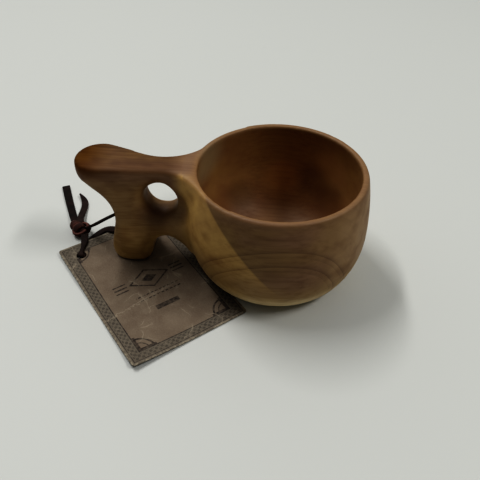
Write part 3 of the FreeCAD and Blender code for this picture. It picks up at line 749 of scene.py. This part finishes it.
# %% Wood: streaks, curl and rings
thin_streaks = speckle(sway, 60, 1.6, 3.0)
broad_streaks = speckle(sway, 60, 9)
streaks = add("Mix", along_face, broad_streaks, thin_streaks, data_type="FLOAT")
body = lay(body, "#a88768", add("MapRange", streaks, 0.4, 0.78, **SOFT),
           add("MapRange", along_face, 0, 1, 0.5, 0.34, **SOFT), way="MULTIPLY")
curl = add("MapRange", speckle(sway, 11, 6, 1.0), 0.35, 0.65, **SOFT)
body = lay(body, "#b8a088", curl, add("MapRange", on_handle, 0, 1, 0.22, 0.5, **SOFT), way="MULTIPLY")
body = lay(body, "#8a6448", ring_lines, rings_shown, 0.55, way="MULTIPLY")

# %% [markdown]
# The top of the handle is darker, where hands have rubbed it, and its tip is duller. A dark patch under the
# finger hole is painted shade, and a light patch above the arch is painted light. The lamps of this scene
# give neither of them. They stay when the light is changed, so take them out to use the cup in another room.

# %% Wood: wear, painted shade and painted light on the handle
def patch(place, radius):
    """1 near a place on the cup, fading to 0 at the radius."""
    away = add("VectorMath", at, place, operation="DISTANCE")
    return add("MapRange", away, radius, radius * 0.3, **SOFT)


# painted shade under the finger hole, then painted light above the arch
HANDLE_PAINTED_SHADE_AND_LIGHT = [((-60.5, -9.5, 34), 14, 0.75, "#54341f"), ((-53, -10, 25), 9, 0.3, "#c8a472")]

handle_top = all_of(add("MapRange", z, 57.5, 60.3, **SOFT), add("MapRange", x, -44, -56, **SOFT))
body = lay(body, "#c8bca6", handle_top, way="MULTIPLY")
for place, radius, strength, colour in HANDLE_PAINTED_SHADE_AND_LIGHT:
    body = lay(body, colour, patch(place, radius), strength)
handle_end = all_of(add("MapRange", z, 52, 58, **SOFT), add("MapRange", x, -82, -98, **SOFT))
body = lay(body, "#e0cdae", handle_end, way="MULTIPLY")

# %% [markdown]
# Inside, the wood is redder, as oil and drink have darkened it, and it is darker and redder still on the
# floor. Soft patches lie over it. The light ones on the right and far walls are painted light, and the grey
# one high on the left wall is a painted sheen. The dark ones low on the far wall and on the floor are
# painted shade. The dim band under the lip on the far right is painted shade of the rim.

# %% Wood: inside the bowl
# painted light, painted shade and a painted sheen inside the bowl
BOWL_PAINTED_LIGHT_AND_SHADE = [((29, 32, 40), 17, 0.6, "#b98f60"), ((20, 38, 29), 15, 0.5, "#4a2412"),
                ((-36, 14, 52), 18, 0.6, "#a89a78"), ((1, 41, 27), 15, 0.5, "#c08a50"),
                ((29, 27, 22), 15, 0.65, "#4a1e06"), ((-22, 31, 19), 13, 0.5, "#5c4420")]
FAR_RIGHT = (0.6, 0.8, 0.0)

hollow = add("Attribute", attribute_name="hollow").outputs["Fac"]
lip = add("Attribute", attribute_name="lip").outputs["Fac"]
inner_wall = lay("#a8844e", "#80583a", streaks)
inner_floor = lay("#86582e", "#663a1c", streaks)
inside = lay(inner_floor, inner_wall, add("MapRange", z, 14, 34, **SOFT))
for place, radius, strength, colour in BOWL_PAINTED_LIGHT_AND_SHADE:
    inside = lay(inside, colour, patch(place, radius), strength)
far_right = add("VectorMath", at, FAR_RIGHT, operation="DOT_PRODUCT")
# painted shade: a dim band on the far right wall under the lip, where the rim shades it
inside = lay(inside, "#4c3422", add("MapRange", z, 46, 55, **SOFT),
             add("MapRange", far_right, 20, 36, **SOFT), 0.12)
body = lay(body, inside, hollow, 0.85)
body = lay(body, "#785b42", lip, 0.6)

# %% [markdown]
# Fine dark streaks are the open pores. They are pressed a little into the surface too, and the oil is
# thinnest, so the wood is roughest, in the streaks and on the rubbed top of the handle.

# %% Wood: pores and sheen
fibres = speckle(sway, 30, 0.6)
body = lay(body, "#8d6a52", add("MapRange", fibres, 0.5, 0.8, 0.0, 0.22, **SOFT), along_face, way="MULTIPLY")
pores = add("Bump", inputs={"Height": all_of(fibres, along_face), "Strength": 0.1, "Distance": 0.2 * MM})
rough_streaks = add("MapRange", streaks, 0.3, 0.8, 0.5, 0.6, **SOFT)
feed(shader, {
    "Base Color": body, "Normal": pores, "IOR": 1.45,
    "Roughness": add("Math", rough_streaks, all_of(handle_top, 0.2), operation="ADD"),
    "Specular IOR Level": add("Math", 0.35, all_of(handle_end, 0.3), operation="SUBTRACT")})
cup.data.materials.append(wood)
print("hardwood has", len(tree.nodes), "nodes")

# %% [markdown]
# ### Leather lace
# The lace is cut from dark brown leather, rubbed with wax. Its flat sides are almost black where they are
# new, and dark brown where the card and the table have rubbed them. On the knot they are lighter and
# reddish, which is painted light on its lit bends. The cut edges are lighter on all of them.
# The numbers give how many pores and stains there are to a millimetre.

# %% Leather
PORES, STAINS = 2.2, 0.26
# the knot's leather is painted lighter and redder: painted light on its bends
LEATHERS = [("leather_waxed_dark", "#120a07", "#38201a", 0.5, [upper_strand, straight_tail]),
            ("leather_waxed_worn", "#211511", "#44302a", 0.6, [lower_strand, curled_tail]),
            ("leather_waxed_knot_painted_light", "#38221d", "#6e4840", 0.7, [knot])]

for name, face_colour, edge_colour, edge_share, pieces in LEATHERS:
    leather, tree, shader = fresh_material(name)
    in_metres = add("TexCoord").outputs["Object"]
    grain = add("TexNoise", in_metres, PORES / MM, 3.0)
    stains = add("TexNoise", in_metres, STAINS / MM, 2.0)
    stained = add("MapRange", stains, 0.45, 0.8, 0.0, 0.4)
    cut_edge = add("Attribute", attribute_name="cut_edge").outputs["Fac"]
    wear = add("Math", cut_edge, edge_share, stained, operation="MULTIPLY_ADD")
    bump = add("Bump", inputs={"Height": grain, "Strength": 0.4, "Distance": 0.1 * MM})
    feed(shader, {"Base Color": lay(face_colour, edge_colour, wear), "Normal": bump,
                  "Roughness": 0.8, "Specular IOR Level": 0.2})
    for piece in pieces:
        piece.data.materials.append(leather)
    print(name, "on", ", ".join(piece.name for piece in pieces))

# %% [markdown]
# ### Printed kraft card
# The tag is grey-brown kraft card with a plain print. Its border is two rules with a lattice of lozenges
# between them. Each corner has a quarter ring, and two short legs that run from it along the border.
# All places on the card are in millimetres from its corner: u along it and v across it.

# %% Card: border
BORDER, LATTICE_TURN = 6.4, 2.1
kraft, tree, shader = fresh_material("card_kraft_printed")
on_card = add("Mapping", add("TexCoord").outputs["Object"], tuple(CARD_CORNER), (0, 0, CARD_TURN),
              (MM, MM, MM), vector_type="TEXTURE")
u, v = add("SeparateXYZ", on_card).outputs[:2]


def rule(distance, place, half_width):
    """A printed line where the distance is near the place."""
    return add("Math", distance, place, half_width, operation="COMPARE")


def waves(way):
    """A wave along one way of the card, about every 3 mm."""
    return add("Math", add("Math", way, LATTICE_TURN, operation="MULTIPLY"), operation="SINE")


from_end = add("Math", u, add("Math", CARD_LENGTH, u, operation="SUBTRACT"), operation="MINIMUM")
from_side = add("Math", v, add("Math", CARD_WIDTH, v, operation="SUBTRACT"), operation="MINIMUM")
from_edge = add("Math", from_end, from_side, operation="MINIMUM")
lattice = add("Math", all_of(waves(u), waves(v)), 0.05, operation="GREATER_THAN")
border = any_of(rule(from_edge, 1.6, 0.22), rule(from_edge, BORDER, 0.3),
                all_of(rule(from_edge, 3.9, 1.7), lattice, 0.6))
near_corner = add("CombineXYZ", from_end, from_side)
from_corner = add("VectorMath", near_corner, (BORDER, BORDER, 0), operation="DISTANCE")
inner_field = add("Math", from_edge, BORDER, operation="GREATER_THAN")
rings = all_of(inner_field, any_of(rule(from_corner, 8.2, 0.5), rule(from_corner, 5.6, 0.3)))
legs = all_of(rule(from_edge, 7.3, 0.7), add("Math", from_corner, 9.5, operation="LESS_THAN"))

# %% [markdown]
# In the field stands a lozenge with a filled heart, between two short pairs of rules. Two dashed rules
# and a solid bar follow it. They are plain shapes of a printer's stock, in a layout of their own.

# %% Card: field
MIDDLE_U, MIDDLE_V, DASH_TURN = 45.0, 33.0, 2.6
past_u = add("Math", add("Math", u, MIDDLE_U, operation="SUBTRACT"), operation="ABSOLUTE")
past_v = add("Math", add("Math", v, MIDDLE_V, operation="SUBTRACT"), operation="ABSOLUTE")
from_heart = add("Math", past_u, 1.7, past_v, operation="MULTIPLY_ADD")
lozenge = any_of(rule(from_heart, 11.0, 0.9), add("Math", from_heart, 4.5, operation="LESS_THAN"))
side_rules = all_of(rule(past_v, 16.5, 3.5), any_of(rule(past_u, 0.0, 0.5), rule(past_u, 2.4, 0.4)))
dash_waves = add("Math", add("Math", v, DASH_TURN, operation="MULTIPLY"), operation="SINE")
dashes = add("Math", dash_waves, -0.5, operation="GREATER_THAN")
under_rules = all_of(rule(past_v, 0.0, 12.5), dashes, any_of(rule(u, 55.0, 0.4), rule(u, 58.0, 0.4)))
bar = all_of(rule(u, 66.0, 1.5), rule(v, MIDDLE_V, 6.5))
print_marks = any_of(border, rings, legs, lozenge, side_rules, under_rules, bar)
print("print stands", BORDER, "mm inside the card's edge")

# %% [markdown]
# The card is worn: its surface is mottled and fibrous, the ink is rubbed, thin cracks and one fold run
# across it, and its edges are scuffed pale. A noise bends the cracks, since paper doesn't crack straight.

# %% Card: wear
mottle = add("TexNoise", on_card, 0.11, 5.0)
fibre = add("TexNoise", on_card, 1.6, 4.0)
rubbed = add("TexNoise", on_card, 0.7, 4.0)
bend = add("TexNoise", on_card, 0.12, 2.0).outputs["Color"]
bent = add("VectorMath", bend, (9, 9, 0), on_card, operation="MULTIPLY_ADD")
cracks = add("TexVoronoi", bent, 0.055, feature="DISTANCE_TO_EDGE")
crinkle = all_of(add("MapRange", cracks, 0.022, 0.0, **SOFT), add("MapRange", mottle, 0.45, 0.62, **SOFT))
leaning = add("Math", v, 0.12, u, operation="MULTIPLY_ADD")
fold_place = add("Math", rubbed, 7.0, 57.0, operation="MULTIPLY_ADD")
from_fold = add("Math", add("Math", leaning, fold_place, operation="SUBTRACT"), operation="ABSOLUTE")
fold = all_of(add("MapRange", from_fold, 0.9, 0.1, **SOFT), add("MapRange", v, 52, 30, **SOFT))
broken = any_of(crinkle, fold)

# %% Card: colours
paper = lay("#675849", "#746656", add("MapRange", mottle, 0.3, 0.7, **SOFT))
paper = lay(paper, "#56534a", add("Math", from_edge, 6.6, operation="LESS_THAN"), 0.6)
paper = lay(paper, "#8c7e6c", add("MapRange", fibre, 0.35, 0.75, 0.0, 0.3, **SOFT))
paper = lay(paper, "#261d18", print_marks, add("MapRange", rubbed, 0.35, 0.68, 0.95, 0.5, **SOFT))
paper = lay(paper, "#a39682", broken, 0.4)
paper = lay(paper, "#a59a86", add("MapRange", from_edge, 1.4, 0.2, **SOFT),
            add("MapRange", rubbed, 0.42, 0.6, **SOFT), 0.55)
relief = add("Math", fibre, 0.5, broken, operation="MULTIPLY_ADD")
card_bump = add("Bump", inputs={"Height": relief, "Strength": 0.35, "Distance": 0.3 * MM})
feed(shader, {"Base Color": paper, "Normal": card_bump, "Roughness": 0.88})
card.data.materials.append(kraft)
print("card has", len(tree.nodes), "nodes")

# %% [markdown]
# ## Table top
# The cup stands on a pale matt laminate table top, which isn't part of the object.

# %% Table top
floor_bm = bmesh.new()
bmesh.ops.create_grid(floor_bm, x_segments=1, y_segments=1, size=3)
floor_mesh = bpy.data.meshes.new("table_top")
floor_bm.to_mesh(floor_mesh)
floor_bm.free()
floor = bpy.data.objects.new("table_top", floor_mesh)
bpy.context.scene.collection.objects.link(floor)
table_top, tree, shader = fresh_material("table_laminate_pale")
feed(shader, {"Base Color": linear("#c1c2be"), "Roughness": 0.6})
floor.data.materials.append(table_top)
print("table top", floor.dimensions.x, "m wide")

# %% [markdown]
# ## Light
# Two long ceiling lamps give soft shadows and a long soft shine. The room is pale overhead and behind
# the cup, and dark at the horizon and behind the viewer, which keeps the wood's near side deep in tone.

# %% Lamps
def strip_light(name, place, sizes, power):
    """A rectangular ceiling lamp that looks at the cup, with its long side level."""
    light = bpy.data.lights.new(name, "AREA")
    light.shape, light.size, light.size_y, light.energy = "RECTANGLE", sizes[0], sizes[1], power
    lamp = bpy.data.objects.new(name, light)
    bpy.context.scene.collection.objects.link(lamp)
    back = place.normalized()
    long_way = (Vector((0, 1, 0)) - back * back.y).normalized()
    turn = Matrix((long_way.cross(back), long_way, back)).transposed().to_4x4()
    lamp.matrix_world = Matrix.Translation(place) @ turn
    print(name, power, "W at", tuple(round(c, 2) for c in place))


strip_light("ceiling_strip_left", Vector((-0.63, 0.45, 1.5)), (0.12, 0.95), 12)
strip_light("ceiling_strip_right", Vector((1.09, -0.15, 1.5)), (0.14, 0.6), 9.5)

# %% Room
world = bpy.data.worlds.new("pale_room")
world.use_nodes = True
tree = world.node_tree
way = add("SeparateXYZ", add("TexCoord").outputs["Generated"]).outputs
from_behind = add("MapRange", way[1], -0.7, 0.5, 0.08, 0.42, **SOFT)
from_above = add("MapRange", way[2], 0.0, 0.55, 0.08, 1.12, **SOFT)
feed(tree.nodes["Background"], {"Color": linear("#f2f4f0"), "Strength": all_of(from_behind, from_above)})
bpy.context.scene.world = world
bpy.context.scene.view_settings.view_transform = "Standard"
bpy.context.scene.view_settings.look = "High Contrast"
print("room has", len(tree.nodes), "nodes")
